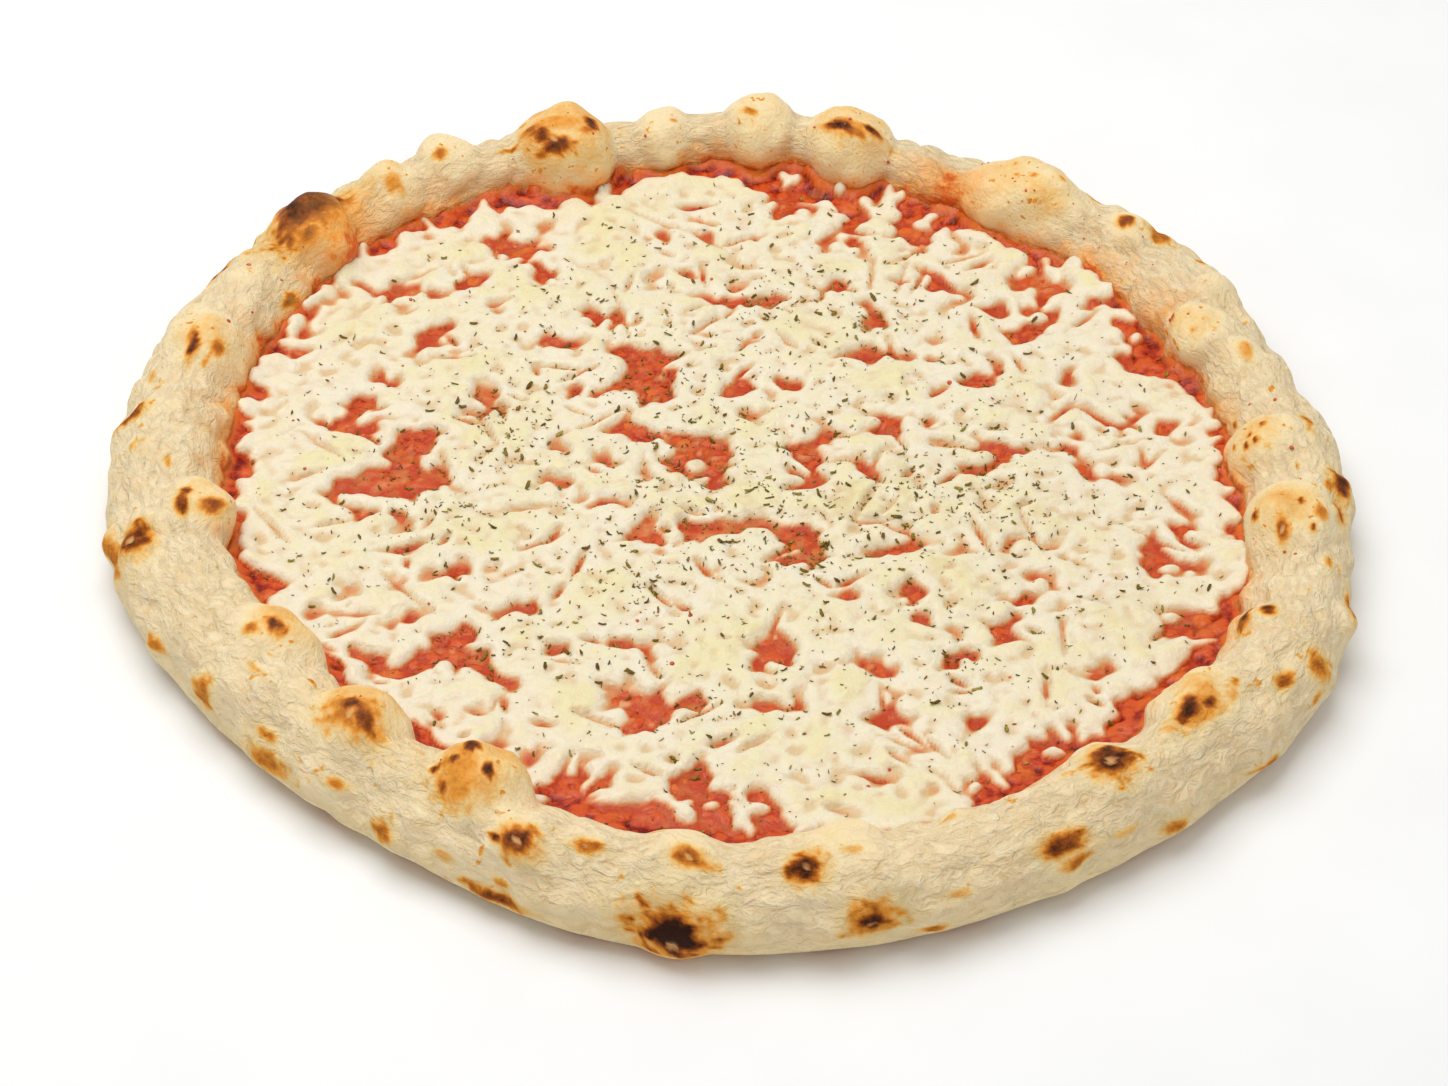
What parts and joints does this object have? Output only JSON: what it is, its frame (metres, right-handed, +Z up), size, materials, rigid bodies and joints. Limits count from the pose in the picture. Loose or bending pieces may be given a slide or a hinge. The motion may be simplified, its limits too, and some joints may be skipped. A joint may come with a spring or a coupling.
{
  "type": "margherita pizza",
  "caption": "Round baked pizza with a puffy blistered rim, tomato sauce and a lumpy layer of melted mozzarella sprinkled with dried herbs",
  "frame": {"origin": "On the flat underside, under the middle of the pizza's outline seen from above", "axes": "+Z is up through the toppings; +X and +Y lie in the plane of the base, which is uneven but round, so their direction is free"},
  "size_m": [0.3188, 0.3154, 0.0276],
  "materials": {
    "baked_dough": "matte floury baked wheat dough with golden blisters and charred spots",
    "tomato_sauce": "moist cooked tomato sauce, red-orange and slightly glossy",
    "melted_mozzarella": "melted grated mozzarella, cream white with a soft greasy gloss"
  },
  "bodies": {
    "root": {"crust": "baked_dough", "tomato_sauce": "tomato_sauce", "mozzarella": "melted_mozzarella"}
  },
  "joints": []
}
